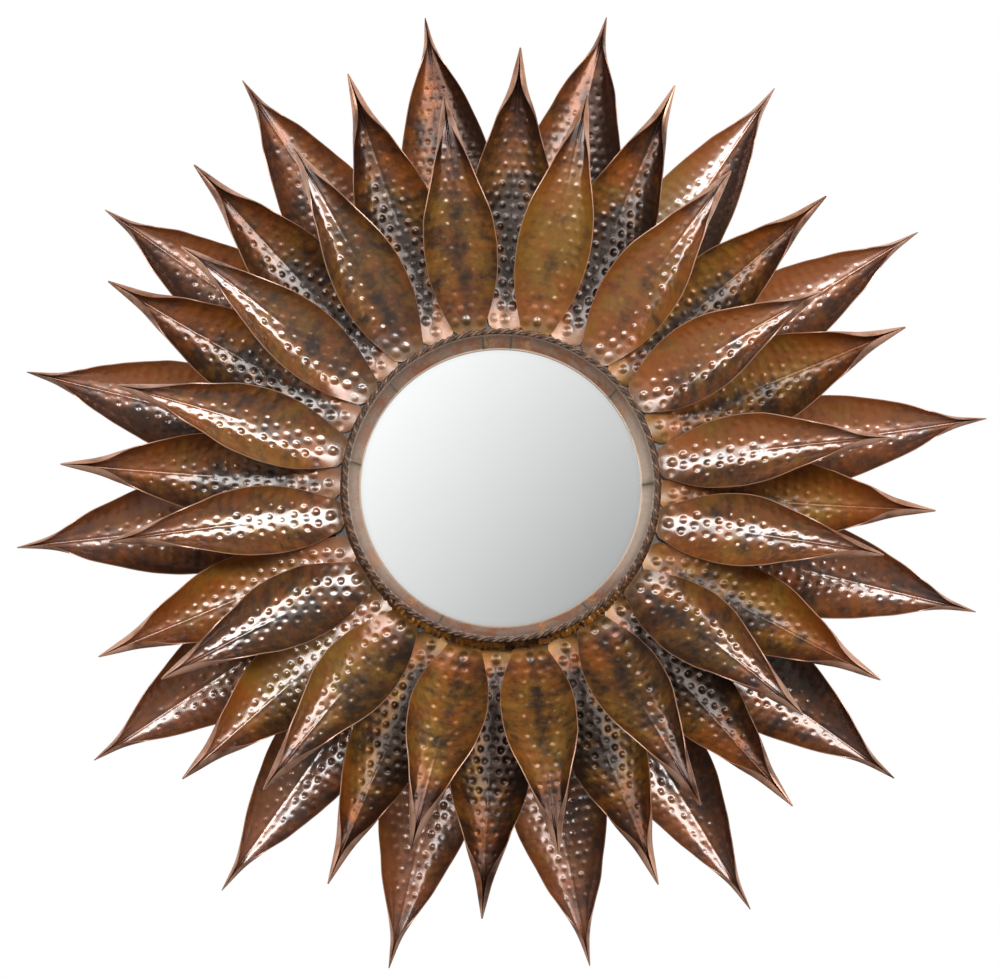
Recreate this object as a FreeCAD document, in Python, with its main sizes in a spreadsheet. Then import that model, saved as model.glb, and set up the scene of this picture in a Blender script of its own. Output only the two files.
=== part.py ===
# A round wall mirror in a conical copper bezel, ringed by three rows of pointed copper leaves.
# Lengths are in millimetres. +X is right, +Z is up, and the glass looks along -Y. The origin is the middle of
# the keyhole's entry, on the rear face of the back plate.
import FreeCAD, Part
import os
import Sketcher
from math import atan2, cos, degrees, hypot, pi, radians, sin, tan
from FreeCAD import Placement, Rotation, Vector

doc = FreeCAD.newDocument("LeafMirror")

# Driving dimensions
SIZES = {
    # Clearance between pieces that seat on each other without a flat face between them
    "seat_gap": 0.3,
    # Glass, with the board behind it
    "glass_radius": 152.4,
    "glass_thickness": 4.0,
    "backing_thickness": 3.0,
    # Bezel: how far the cone covers the glass, the room round the glass, and the two bands
    "glass_cover": 6.9,
    "glass_room": 7.9,
    "cone_wall": 1.3,
    "hoop_wall": 1.5,
    "hoop_height": 24.2,
    # Twisted wire on the front edge of the hoop, and the braze metal at its foot
    "wire_radius": 3.1,
    "braze_width": 4.2,
    "braze_edge": 4.0,
    "braze_height": 8.0,
    # Back plate, drum and the two discs that carry the leaves
    "plate_thickness": 3.0,
    "plate_margin": 4.0,
    "drum_inset": 31.8,
    "drum_wall": 2.0,
    "drum_height": 40.0,
    "disc_thickness": 2.0,
    "disc_seat": 11.4,
    "outer_disc_drop": 13.0,
    "outer_disc_seat": 35.0,
    # Keyhole for the wall screw, and the pads that rest on the wall
    "hanger_margin": 33.0,
    "keyhole_radius": 6.5,
    "slot_radius": 3.0,
    "slot_rise": 14.0,
    "pad_radius": 12.0,
    "pad_thickness": 5.0,
    "pad_inset": 18.0,
    # Leaves: sheet, how far the feet are tucked in before they are trimmed, and each row's own sizes, where a
    # gap is the space between two neighbours at their widest
    "leaf_sheet": 1.0,
    "foot_tuck": 2.5,
    "front_lift": 2.0,
    "front_length": 234.1,
    "front_gap": 26.0,
    "front_step": 16.0,
    "middle_length": 285.3,
    "middle_gap": 28.0,
    "middle_rise": 59.0,
    "outer_foot_step": 19.7,
    "outer_length": 361.1,
    "outer_gap": 19.2,
    "outer_rise": 7.0,
}

sheet = doc.addObject("Spreadsheet::Sheet", "Sizes")
for row, (alias, length) in enumerate(SIZES.items(), start=1):
    sheet.set(f"A{row}", alias)
    sheet.set(f"B{row}", str(length))
    sheet.setAlias(f"B{row}", alias)
doc.recompute()

# Places that follow from the driving dimensions: radii first, then heights above the rear of the back plate
HOOP_INNER = "Sizes.glass_radius + Sizes.glass_room"
HOOP_OUTER = f"{HOOP_INNER} + Sizes.hoop_wall"
BRAZE_INNER = f"{HOOP_OUTER} + Sizes.seat_gap"
BRAZE_OUTER = f"{BRAZE_INNER} + Sizes.braze_width"
FOOT_CIRCLE = f"{BRAZE_OUTER} + Sizes.seat_gap"
DISC_OUTER = f"{FOOT_CIRCLE} + Sizes.disc_seat"
DRUM_OUTER = f"{HOOP_OUTER} - Sizes.drum_inset"
DRUM_INNER = f"{DRUM_OUTER} - Sizes.drum_wall"
OUTER_DISC_INNER = f"{DRUM_OUTER} + Sizes.seat_gap"
OUTER_FOOT_CIRCLE = f"{OUTER_DISC_INNER} + Sizes.outer_foot_step"
HANGER_RISE = f"{DRUM_INNER} - Sizes.hanger_margin"
DRUM_TOP = "Sizes.plate_thickness + Sizes.drum_height"
DISC_TOP = f"{DRUM_TOP} + Sizes.disc_thickness"
BACKING_TOP = f"{DISC_TOP} + Sizes.backing_thickness"
GLASS_TOP = f"{BACKING_TOP} + Sizes.glass_thickness"
HOOP_TOP = f"{DISC_TOP} + Sizes.hoop_height"
OUTER_DISC_TOP = f"{DRUM_TOP} - Sizes.outer_disc_drop"

FACE_UP = Rotation(Vector(1, 0, 0), 90)
pieces = []


def value(expression):
    """The number that an expression in the sheet's sizes stands for."""
    return float(sheet.evalExpression(expression))


def stand_up(piece):
    """Each piece is drawn lying on its back about the glass's axis. This stands it on the wall."""
    piece.Placement = Placement(Vector(0, 0, -value(HANGER_RISE)), FACE_UP)
    piece.setExpression(".Placement.Base.z", f"-({HANGER_RISE})")
    pieces.append(piece)


def pin_point(sketch, geometry, end, across, up):
    """Fixes a sketch point at two expressions, or on an axis where one of them is zero."""
    for kind, expression, axis in (("DistanceX", across, -2), ("DistanceY", up, -1)):
        if expression == "0":
            sketch.addConstraint(Sketcher.Constraint("PointOnObject", geometry, end, axis))
        else:
            number = sketch.addConstraint(Sketcher.Constraint(kind, -1, 1, geometry, end, value(expression)))
            sketch.setExpression(f"Constraints[{number}]", expression)


def origin_plane(body, role):
    """The body's own origin plane of that role."""
    return next(plane for plane in body.Origin.OriginFeatures if plane.Role == role)


def new_sketch(body, name, role):
    """An empty sketch on one of the body's origin planes."""
    sketch = body.newObject("Sketcher::SketchObject", name)
    sketch.AttachmentSupport = [(origin_plane(body, role), "")]
    sketch.MapMode = "FlatFace"
    return sketch


def turned(name, corners):
    """A piece turned about the glass's axis, from the corners of its section as (radius, height)."""
    body = doc.addObject("PartDesign::Body", name)
    sketch = new_sketch(body, f"{name}_section", "XZ_Plane")
    points = [Vector(value(radius), value(height), 0) for radius, height in corners]
    count = len(points)
    for i in range(count):
        sketch.addGeometry(Part.LineSegment(points[i], points[(i + 1) % count]))
    for i, (radius, height) in enumerate(corners):
        sketch.addConstraint(Sketcher.Constraint("Coincident", i, 2, (i + 1) % count, 1))
        pin_point(sketch, i, 1, radius, height)
    turn = body.newObject("PartDesign::Revolution", f"{name}_turn")
    turn.Profile = sketch
    turn.ReferenceAxis = (sketch, ["V_Axis"])
    turn.Angle = 360
    stand_up(body)
    return body


def ring(name, inner, outer, low, high):
    """A flat ring, a band or, with no inner radius, a disc."""
    return turned(name, [(inner, low), (outer, low), (outer, high), (inner, high)])


# Back plate, with the keyhole that drops over a screw in the wall
back_plate = ring("back_plate", "0", f"{DRUM_OUTER} + Sizes.plate_margin", "0", "Sizes.plate_thickness")


def pocket_through(body, sketch):
    """Cuts a sketch on the rear face through the plate, and makes sure that the cut took metal away."""
    doc.recompute()
    whole = body.Shape.Volume
    pocket = body.newObject("PartDesign::Pocket", f"{sketch.Label}_cut")
    pocket.Profile = sketch
    pocket.Reversed = True
    pocket.setExpression("Length", "Sizes.plate_thickness")
    doc.recompute()
    if body.Shape.Volume >= whole:
        raise RuntimeError(f"{sketch.Label} cut nothing")


entry = new_sketch(back_plate, "keyhole_entry", "XY_Plane")
entry.addGeometry(Part.Circle(Vector(0, value(HANGER_RISE), 0), Vector(0, 0, 1), value("Sizes.keyhole_radius")))
pin_point(entry, 0, 3, "0", HANGER_RISE)
entry_size = entry.addConstraint(Sketcher.Constraint("Radius", 0, value("Sizes.keyhole_radius")))
entry.setExpression(f"Constraints[{entry_size}]", "Sizes.keyhole_radius")
pocket_through(back_plate, entry)

slot = new_sketch(back_plate, "keyhole_slot", "XY_Plane")
slot_end = value(f"{HANGER_RISE} + Sizes.slot_rise")
slot_half = value("Sizes.slot_radius")
entry_height = value(HANGER_RISE)
slot.addGeometry(Part.LineSegment(Vector(slot_half, slot_end, 0), Vector(slot_half, entry_height, 0)))
slot.addGeometry(Part.LineSegment(Vector(slot_half, entry_height, 0), Vector(-slot_half, entry_height, 0)))
slot.addGeometry(Part.LineSegment(Vector(-slot_half, entry_height, 0), Vector(-slot_half, slot_end, 0)))
slot.addGeometry(Part.ArcOfCircle(Part.Circle(Vector(0, slot_end, 0), Vector(0, 0, 1), slot_half), 0, pi))
slot.addConstraint(Sketcher.Constraint("Coincident", 0, 2, 1, 1))
slot.addConstraint(Sketcher.Constraint("Coincident", 1, 2, 2, 1))
slot.addConstraint(Sketcher.Constraint("Tangent", 0, 1, 3, 1))
slot.addConstraint(Sketcher.Constraint("Tangent", 2, 2, 3, 2))
slot.addConstraint(Sketcher.Constraint("Horizontal", 1))
slot.addConstraint(Sketcher.Constraint("Vertical", 0))
pin_point(slot, 3, 3, "0", f"{HANGER_RISE} + Sizes.slot_rise")
pin_point(slot, 1, 1, "Sizes.slot_radius", HANGER_RISE)
pocket_through(back_plate, slot)

# Four felt pads between the back plate and the wall
PAD_AZIMUTHS = [45, 135, 225, 315]
pads = doc.addObject("Part::Compound", "wall_pads")
pad_cylinders = []
for number, azimuth in enumerate(PAD_AZIMUTHS, start=1):
    pad = doc.addObject("Part::Cylinder", f"pad_{number}")
    pad.setExpression("Radius", "Sizes.pad_radius")
    pad.setExpression("Height", "Sizes.pad_thickness")
    pad.setExpression(".Placement.Base.x", f"({DRUM_OUTER} - Sizes.pad_inset) * cos({azimuth} deg)")
    pad.setExpression(".Placement.Base.y", f"({DRUM_OUTER} - Sizes.pad_inset) * sin({azimuth} deg)")
    pad.setExpression(".Placement.Base.z", "-Sizes.pad_thickness")
    pad_cylinders.append(pad)
pads.Links = pad_cylinders
stand_up(pads)

# Drum that stands on the back plate, the flange round it for the outer leaves, and the disc across its front
ring("hub_drum", DRUM_INNER, DRUM_OUTER, "Sizes.plate_thickness", DRUM_TOP)
ring("outer_leaf_disc", OUTER_DISC_INNER, f"{OUTER_FOOT_CIRCLE} + Sizes.outer_disc_seat",
     f"{OUTER_DISC_TOP} - Sizes.disc_thickness", OUTER_DISC_TOP)
ring("leaf_disc", "0", DISC_OUTER, DRUM_TOP, DISC_TOP)

# Glass on its backing board
ring("glass_backing", "0", "Sizes.glass_radius", DISC_TOP, BACKING_TOP)
ring("mirror_glass", "0", "Sizes.glass_radius", BACKING_TOP, GLASS_TOP)

# Bezel: the upright hoop, and inside it the cone that slopes back to the glass
CONE_FRONT = f"{HOOP_INNER} - Sizes.seat_gap"
CONE_SIGHT = "Sizes.glass_radius - Sizes.glass_cover"
CONE_BACK = f"{GLASS_TOP} + Sizes.seat_gap"
ring("bezel_hoop", HOOP_INNER, HOOP_OUTER, DISC_TOP, HOOP_TOP)
turned("bezel_cone", [
    (CONE_SIGHT, CONE_BACK),
    (f"{CONE_SIGHT} + Sizes.cone_wall", CONE_BACK),
    (CONE_FRONT, HOOP_TOP),
    (f"{CONE_FRONT} - Sizes.cone_wall", HOOP_TOP),
])

# Braze metal round the foot of the hoop, between it and the feet of the leaves
turned("braze_fillet", [
    (BRAZE_INNER, DISC_TOP),
    (BRAZE_OUTER, DISC_TOP),
    (BRAZE_OUTER, f"{DISC_TOP} + Sizes.braze_edge"),
    (BRAZE_INNER, f"{DISC_TOP} + Sizes.braze_height"),
])

# Twisted wire, here at the outer size of its two strands, on the front edge of the hoop
WIRE_HEIGHT = f"{HOOP_TOP} + Sizes.seat_gap + Sizes.wire_radius"
wire = doc.addObject("Part::Torus", "twisted_wire_ring")
wire.setExpression("Radius1", f"{HOOP_OUTER} - Sizes.hoop_wall / 2")
wire.setExpression("Radius2", "Sizes.wire_radius")
stand_up(wire)
wire.setExpression(".Placement.Base.y", f"-({WIRE_HEIGHT})")

# A leaf is one sheet folded round its keel. Stations along it, as shares of its length, carry its section.
STATION_SHARES = [0, .05, .10, .17, .25, .35, .45, .54, .62, .70, .78, .85, .92, .96, 1.0]
# Where along its length a leaf is measured for the gap to its neighbours
WIDEST_SHARE = .42
# Least inner radius of a folded section, as a share of its outer radius
THROAT_SHARE = .4
# How far past the leaves' heights the cutter that trims their feet reaches, as a share of the foot circle
CUTTER_SHARE = 1


def leaf_section(along, height, slope, half_width, fold_share):
    """One section: two arcs about one centre over the keel, joined by the two cut edges of the sheet.

    The half width is that of the outline: past a quarter turn of fold the arc's own radius is the widest.
    The section stands square to the keel, so it leans back by the keel's slope.
    """
    fold = pi * fold_share
    outer = half_width / sin(min(fold, pi / 2))
    inner = max(outer - value("Sizes.leaf_sheet"), THROAT_SHARE * outer)

    def point(radius, angle):
        rise = outer - radius * cos(angle)
        return Vector(along - rise * sin(slope), radius * sin(angle), height + rise * cos(slope))

    def arc(radius, start, end):
        return Part.Arc(point(radius, start), point(radius, (start + end) / 2), point(radius, end)).toShape()

    return Part.Wire([
        arc(outer, -fold, 0),
        arc(outer, 0, fold),
        Part.makeLine(point(outer, fold), point(inner, fold)),
        arc(inner, fold, 0),
        arc(inner, 0, -fold),
        Part.makeLine(point(inner, -fold), point(outer, -fold)),
    ])


def leaf_solid(length, rise, half_width, shares):
    """A leaf along +X from its foot, from a smooth loft through its sections."""
    alongs = [length * share for share in STATION_SHARES]
    heights = [rise * share for share in shares["height_shares"]]
    last = len(alongs) - 1
    sections = []
    for i in range(len(alongs)):
        before = max(i - 1, 0)
        after = min(i + 1, last)
        slope = atan2(heights[after] - heights[before], alongs[after] - alongs[before])
        width = half_width * shares["width_shares"][i]
        sections.append(leaf_section(alongs[i], heights[i], slope, width, shares["fold_shares"][i]))
    return Part.makeLoft(sections, True, False)


def leaf_row(name, foot, trim, lift, length, rise, gap, first_azimuth, shares, leaves):
    """A row of leaves, clockwise from the first azimuth.

    Each leaf has its own small turns of foot and tip in degrees, and its shares of the row's length and width,
    because no two were cut and set alike. Its foot is trimmed to the circle that the row stands round.
    """
    pitch = 360 / len(leaves)
    row_width = (foot + WIDEST_SHARE * length) * tan(radians(pitch / 2)) - gap / 2
    stand = Placement(Vector(0, 0, -value(HANGER_RISE)), FACE_UP)
    for number, (foot_turn, tip_turn, length_share, width_share) in enumerate(leaves, start=1):
        azimuth = first_azimuth - pitch * (number - 1)
        foot_angle = radians(azimuth + foot_turn)
        tip_angle = radians(azimuth + tip_turn)
        tip = foot + length * length_share
        foot_point = Vector(foot * cos(foot_angle), foot * sin(foot_angle), lift)
        across = tip * cos(tip_angle) - foot_point.x
        up = tip * sin(tip_angle) - foot_point.y
        place = Placement(foot_point, Rotation(Vector(0, 0, 1), degrees(atan2(up, across))))
        solid = leaf_solid(hypot(across, up), rise, row_width * width_share, shares)
        centre = place.inverse().multVec(Vector(0, 0, 0))
        cutter = Part.makeCylinder(trim, trim * CUTTER_SHARE, centre, Vector(0, 0, 1))
        leaf = doc.addObject("Part::Feature", f"{name}_leaf_{number:02d}")
        leaf.Shape = solid.cut(cutter)
        leaf.Placement = stand * place
        pieces.append(leaf)


# Front leaves: the shortest, rising steeply towards the viewer
FRONT_SHARES = {
    "height_shares": [0, .030, .070, .148, .272, .436, .590, .703, .790, .860, .914, .951, .980, .990, 1.0],
    "width_shares": [.39, .51, .64, .80, .92, 1.0, .98, .87, .70, .535, .385, .265, .155, .090, .02],
    "fold_shares": [.07, .09, .12, .17, .22, .27, .31, .37, .43, .51, .66, .83, .94, .95, .96],
}
FRONT_LEAVES = [
    (-0.5, -0.5, 1.05, .97),
    (-0.5, -2.0, 1.00, 1.00),
    (1.0, -2.5, .93, 1.00),
    (-1.0, -4.5, 1.01, .95),
    (0.0, 0.5, 1.00, .96),
    (-0.5, -4.0, .97, .99),
    (0.5, -2.0, .97, .98),
    (-0.5, -2.0, .96, .99),
    (-0.5, -1.5, .97, 1.01),
    (-1.0, -2.5, 1.01, 1.00),
    (0.0, -2.0, 1.02, .99),
    (-1.0, -1.0, 1.03, .93),
    (-1.0, -1.5, 1.03, .96),
    (-1.5, -1.5, 1.04, .92),
    (1.0, -1.0, 1.03, .96),
    (1.0, -2.0, 1.02, .97),
]
leaf_row(
    "front",
    foot=value(f"{FOOT_CIRCLE} - Sizes.foot_tuck"),
    trim=value(FOOT_CIRCLE),
    lift=value(f"{DISC_TOP} + Sizes.seat_gap + Sizes.front_lift"),
    length=value("Sizes.front_length"),
    rise=value("Sizes.middle_rise + Sizes.front_step"),
    gap=value("Sizes.front_gap"),
    first_azimuth=78,
    shares=FRONT_SHARES,
    leaves=FRONT_LEAVES,
)

# Middle leaves: half a pitch further round, their feet between those of the front leaves
MIDDLE_SHARES = {
    "height_shares": [0, .002, .013, .042, .087, .157, .240, .330, .425, .534, .655, .765, .877, .938, 1.0],
    "width_shares": [.37, .44, .54, .70, .85, .97, 1.0, .955, .83, .645, .46, .27, .145, .082, .02],
    "fold_shares": [.06, .07, .08, .11, .15, .20, .24, .29, .35, .43, .58, .80, .94, .95, .96],
}
MIDDLE_LEAVES = [
    (-0.5, -1.5, 1.02, 1.00),
    (0.5, 0.0, 1.01, .98),
    (0.5, -2.5, 1.00, .95),
    (0.5, -0.5, .99, 1.08),
    (-0.5, -3.0, .99, 1.00),
    (-0.5, -4.5, .96, .97),
    (0.5, -2.5, .99, .93),
    (0.5, -0.5, .98, .96),
    (-0.5, -1.5, 1.00, .98),
    (-0.5, 0.5, 1.00, .92),
    (-0.5, -0.5, .99, 1.03),
    (0.5, 2.5, 1.00, .96),
    (-1.0, -1.0, 1.01, 1.00),
    (-1.5, -3.5, 1.02, 1.00),
    (0.0, 0.0, 1.03, 1.00),
    (1.0, -1.0, 1.02, .98),
]
leaf_row(
    "middle",
    foot=value(f"{FOOT_CIRCLE} - Sizes.foot_tuck"),
    trim=value(FOOT_CIRCLE),
    lift=value(f"{DISC_TOP} + Sizes.seat_gap"),
    length=value("Sizes.middle_length"),
    rise=value("Sizes.middle_rise"),
    gap=value("Sizes.middle_gap"),
    first_azimuth=89,
    shares=MIDDLE_SHARES,
    leaves=MIDDLE_LEAVES,
)

# Outer leaves: the longest and nearly flat, on the flange behind the other two rows
OUTER_SHARES = {
    "height_shares": [0, .01, .03, .07, .13, .21, .30, .40, .51, .62, .74, .83, .91, .955, 1.0],
    "width_shares": [.33, .42, .54, .68, .83, .95, 1.0, .97, .875, .70, .505, .28, .110, .058, .01],
    "fold_shares": [.05, .06, .08, .11, .15, .19, .23, .27, .30, .34, .41, .54, .87, .93, .96],
}
OUTER_LEAVES = [
    (0.0, -0.5, 1.02, 1.05),
    (0.5, 0.5, 1.02, .93),
    (-1.0, -1.0, 1.02, .92),
    (-1.5, -2.0, 1.01, .96),
    (-3.5, -2.5, 1.00, 1.03),
    (-3.0, -2.0, .99, 1.05),
    (-3.5, -2.5, .99, .96),
    (-2.0, 0.0, .98, 1.02),
    (-0.5, -1.0, 1.00, 1.00),
    (0.5, 0.0, .99, .96),
    (0.5, 1.0, .99, 1.04),
    (-3.0, -3.5, .99, 1.04),
    (-2.5, -2.0, 1.00, 1.00),
    (-2.0, -1.0, 1.00, 1.00),
    (-3.5, -1.0, 1.01, .98),
    (1.0, -1.5, 1.00, 1.00),
]
leaf_row(
    "outer",
    foot=value(f"{OUTER_FOOT_CIRCLE} - Sizes.foot_tuck"),
    trim=value(OUTER_FOOT_CIRCLE),
    lift=value(f"{OUTER_DISC_TOP} + Sizes.seat_gap"),
    length=value("Sizes.outer_length"),
    rise=value("Sizes.outer_rise"),
    gap=value("Sizes.outer_gap"),
    first_azimuth=78,
    shares=OUTER_SHARES,
    leaves=OUTER_LEAVES,
)

# Every object has to be sound before any file is written
doc.recompute()
for item in doc.Objects:
    if "Invalid" in item.State or "Error" in item.State:
        raise RuntimeError(f"{item.Label} failed: {item.State}")
for piece in pieces:
    if piece.Shape.isNull() or not piece.Shape.isValid():
        raise RuntimeError(f"{piece.Label} has no valid shape")

os.makedirs("parts", exist_ok=True)
for piece in pieces:
    piece.Shape.exportStep(f"parts/{piece.Label}.step")
print(f"{len(pieces)} pieces written")
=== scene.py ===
"""A round wall mirror in a ray of three rows of hammered copper leaves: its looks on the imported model.

Everything is in metres in the model's frame. The wall is behind, at +Y, and up is +Z.
"""

from math import cos, pi, radians, sin

import bpy
import numpy as np
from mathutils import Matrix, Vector


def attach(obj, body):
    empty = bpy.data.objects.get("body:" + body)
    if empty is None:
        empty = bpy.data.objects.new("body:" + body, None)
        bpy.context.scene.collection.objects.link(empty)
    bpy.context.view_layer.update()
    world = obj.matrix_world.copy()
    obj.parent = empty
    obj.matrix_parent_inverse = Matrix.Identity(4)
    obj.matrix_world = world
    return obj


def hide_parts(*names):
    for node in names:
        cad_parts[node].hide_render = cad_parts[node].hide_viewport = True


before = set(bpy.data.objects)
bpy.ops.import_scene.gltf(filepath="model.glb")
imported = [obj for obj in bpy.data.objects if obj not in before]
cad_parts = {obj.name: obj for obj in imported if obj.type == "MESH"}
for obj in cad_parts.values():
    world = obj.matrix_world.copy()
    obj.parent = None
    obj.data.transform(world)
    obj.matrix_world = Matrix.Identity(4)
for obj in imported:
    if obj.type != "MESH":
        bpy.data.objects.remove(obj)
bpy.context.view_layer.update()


# Camera
# A long lens five metres off, a little below the middle of the glass and tilted up to it.
GLASS_CENTRE = Vector((0, -0.052, -0.095))
camera_distance = 5.0
camera_rise = radians(-8.4)
camera_turn = radians(0.6)
camera_aim = GLASS_CENTRE + Vector((-0.0008, 0, -0.002))
towards_camera = Vector((
    -sin(camera_turn) * cos(camera_rise),
    -cos(camera_turn) * cos(camera_rise),
    sin(camera_rise),
))
camera = bpy.data.objects.new("camera", bpy.data.cameras.new("camera"))
camera.data.sensor_width = 36
camera.data.lens = 173.7
camera.data.clip_end = 50
camera.location = camera_aim + towards_camera * camera_distance
camera.rotation_mode = "QUATERNION"
camera.rotation_quaternion = (-towards_camera).to_track_quat("-Z", "Y")
bpy.context.scene.collection.objects.link(camera)
bpy.context.scene.camera = camera


# Front leaves
# Sixteen leaves of sheet copper, domed from behind with a round punch in rows beside the keel, dished to a
# channel and folded nearly shut at the tip. Coloured with a torch and lacquered, and brazed by the foot.
SHEET = 0.001
DISH_AXIS = Vector((0, 0, -0.095))
STATION_SHARES = [0, 0.05, 0.10, 0.17, 0.25, 0.35, 0.45, 0.54, 0.62, 0.70, 0.78, 0.85, 0.92, 0.96, 1.0]
foot_tuck = 0.0025
foot_chamfer = 0.0045
dome_pitch = 0.0108
dome_column = 0.0104
dome_radius = 0.0039
dome_height = 0.00085
foot_dome_radius = 0.0056
foot_dome_height = 0.0014
foot_spread = 0.009
bare_foot = 0.015
dome_scatter = 0.0007
dome_zone_stations = [0, 0.25, 0.5, 0.75, 0.9]
dome_zone_shares = [0.56, 0.47, 0.37, 0.31, 0.35]
crease_depth = 0.0006
crease_half_width = 0.0016
flat_reach = 0.016
edge_wave = 0.0004
ripple_height = 0.00016
dent_depth = 0.00022
rim_share = 0.988
front_foot = 0.1641
front_lift = 0.0473
front_length = 0.2341
front_rise = 0.075
front_half_width = 0.0392
front_azimuth = 78
front_height_shares = [
    0, 0.030, 0.070, 0.148, 0.272, 0.436, 0.590, 0.703, 0.790, 0.860, 0.914, 0.951, 0.980, 0.990, 1.0,
]
front_width_shares = [
    0.39, 0.51, 0.64, 0.80, 0.92, 1.0, 0.98, 0.87, 0.70, 0.535, 0.385, 0.265, 0.155, 0.090, 0.02,
]
front_fold_shares = [
    0.03, 0.06, 0.10, 0.16, 0.22, 0.27, 0.31, 0.37, 0.43, 0.51, 0.66, 0.83, 0.94, 0.95, 0.96,
]
# Of each leaf: turn of the foot and of the tip in degrees, shares of the length and of the width
front_leaves = [
    (-0.5, -0.5, 1.05, 0.97), (-0.5, -2, 1, 1), (1, -2.5, 0.93, 1), (-1, -4.5, 1.01, 0.95),
    (0, 0.5, 1, 0.96), (-0.5, -4, 0.97, 0.99), (0.5, -2, 0.97, 0.98), (-0.5, -2, 0.96, 0.99),
    (-0.5, -1.5, 0.97, 1.01), (-1, -2.5, 1.01, 1), (0, -2, 1.02, 0.99), (-1, -1, 1.03, 0.93),
    (-1, -1.5, 1.03, 0.96), (-1.5, -1.5, 1.04, 0.92), (1, -1, 1.03, 0.96), (1, -2, 1.02, 0.97),
]
# Of each leaf: how much gold, rust red and smoke the torch left on it, how much more smoke and less red on
# its anticlockwise flank, and how thick its lacquer is
# The smoke is torch smoke, and where it is heavier on the bottom leaves it is also painted shade
front_patina_shares = [
    (0.8, 0.8, 0, 0, 0.6), (0.4, 0.9, 0, 0, 0.9), (0.3, 1, 0.1, -0.35, 1), (0.3, 0.7, 0.1, -0.25, 1),
    (0.4, 0.8, 0.2, 0, 1), (0.5, 0.5, 0.4, -0.2, 0.9), (0.6, 0.4, 0.45, 0.1, 0.4), (0.7, 0.8, 0.3, 0.1, 0.2),
    (0.7, 0.9, 0.3, 0.1, 0.2), (0.8, 0.5, 0.2, 0.35, 0.7), (0.4, 0.4, 0.4, 0.1, 1), (0.4, 0.7, 0.2, 0.1, 1),
    (0.5, 0.7, 0.15, -0.1, 1), (0.4, 0.5, 0.2, -0.1, 1), (0.5, 0.4, 0.3, 0, 0.9), (0.6, 0.6, 0.3, 0, 0.6),
]


def through(stations, values, at):
    """A natural cubic through the stations.

    The second derivatives solve one small banded system. Between two stations the value is the cubic that
    has their values and second derivatives.
    """
    x = np.asarray(stations, float)
    y = np.asarray(values, float)
    step = np.diff(x)
    inner = np.arange(1, len(x) - 1)
    band = np.eye(len(x))
    band[inner, inner - 1] = step[:-1]
    band[inner, inner] = 2 * (step[:-1] + step[1:])
    band[inner, inner + 1] = step[1:]
    right = np.zeros(len(x))
    right[1:-1] = 6 * np.diff(np.diff(y) / step)
    bend = np.linalg.solve(band, right)
    k = np.clip(np.searchsorted(x, at, "right") - 1, 0, len(x) - 2)
    left = at - x[k]
    rest = x[k + 1] - at
    curved = (bend[k] * rest**3 + bend[k + 1] * left**3) / (6 * step[k])
    straight = (y[k] / step[k] - bend[k] * step[k] / 6) * rest
    return curved + straight + (y[k + 1] / step[k] - bend[k + 1] * step[k] / 6) * left


def ramp(low, high, value):
    """0 below low, 1 above high, and 3t^2 - 2t^3 of the way between them."""
    t = np.clip((value - low) / (high - low), 0, 1)
    return t * t * (3 - 2 * t)


def uneven(along, across, dice, longest, shortest):
    """A smooth uneven field of about -1 to 1: a quarter of the sum of eight sine waves.

    Their lengths run evenly from the longest to the shortest, and their directions and phases are chance.
    """
    total = 0
    for length in np.geomspace(longest, shortest, 8):
        turn = dice.uniform(0, pi)
        phase = dice.uniform(0, 2 * pi)
        total = total + np.sin(2 * pi * (along * cos(turn) + across * sin(turn)) / length + phase)
    return total / 4


def punched_domes(length, half_arc, shares, dice):
    """The places along and across a leaf, the radii and the heights of its domes.

    Rows lie a pitch apart, wider near the foot, and every second one is shifted by half a column. A dome is
    kept where it fits in the domed zone, a share of the half arc that narrows towards the tip. Domes are
    larger towards the foot, and lower on the keel and at the zone's edge.
    """
    number = np.arange(int((0.86 * length - bare_foot - foot_spread) / dome_pitch))
    rows = bare_foot + number * dome_pitch + foot_spread * (1 - np.exp(-number / 3))
    columns = np.arange(-4, 5)
    along = (rows[:, None] + 0 * columns) + dice.normal(0, dome_scatter, (len(rows), len(columns)))
    column_pitch = dome_column + 0.3 * foot_spread * np.exp(-number / 3)[:, None]
    across = (columns + 0.5 * (number % 2)[:, None]) * column_pitch
    across = across + dice.normal(0, dome_scatter, across.shape)
    place = along / length
    zone = np.interp(place, dome_zone_stations, dome_zone_shares)
    reach = np.interp(place, shares, half_arc)
    kept = np.abs(across) < np.maximum(0.8, zone) * reach - 0.5 * dome_radius
    faint = 1 - 0.55 * ramp(0.85, 1.2, np.abs(across) / (zone * reach))
    small = ramp(0.04, 0.30, place)
    fade = 1 - 0.6 * ramp(0.5, 0.95, place)
    radius = foot_dome_radius + (dome_radius - foot_dome_radius) * small
    radius = radius * (1 - 0.25 * ramp(0.5, 0.95, place)) * dice.uniform(0.88, 1.1, across.shape)
    height = foot_dome_height + (dome_height - foot_dome_height) * small
    height = height * dice.uniform(0.75, 1.15, across.shape) * fade * faint
    height = height * (0.78 - 0.3 * small + 0.9 * small * ramp(0.003, 0.012, np.abs(across)))
    return along[kept], across[kept], radius[kept], height[kept]


def raised(along, across, domes):
    """The height of the domes at each place: height * (1 - (distance / radius)^2)^1.5 within each radius."""
    total = np.zeros(along.size)
    flat_along = along.ravel()
    flat_across = across.ravel()
    for dome_along, dome_across, radius, height in zip(*domes):
        near = np.flatnonzero(np.abs(flat_along - dome_along) < radius)
        square = (flat_along[near] - dome_along) ** 2 + (flat_across[near] - dome_across) ** 2
        total[near] += height * np.clip(1 - square / radius**2, 0, 1) ** 1.5
    return total.reshape(along.shape)


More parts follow.
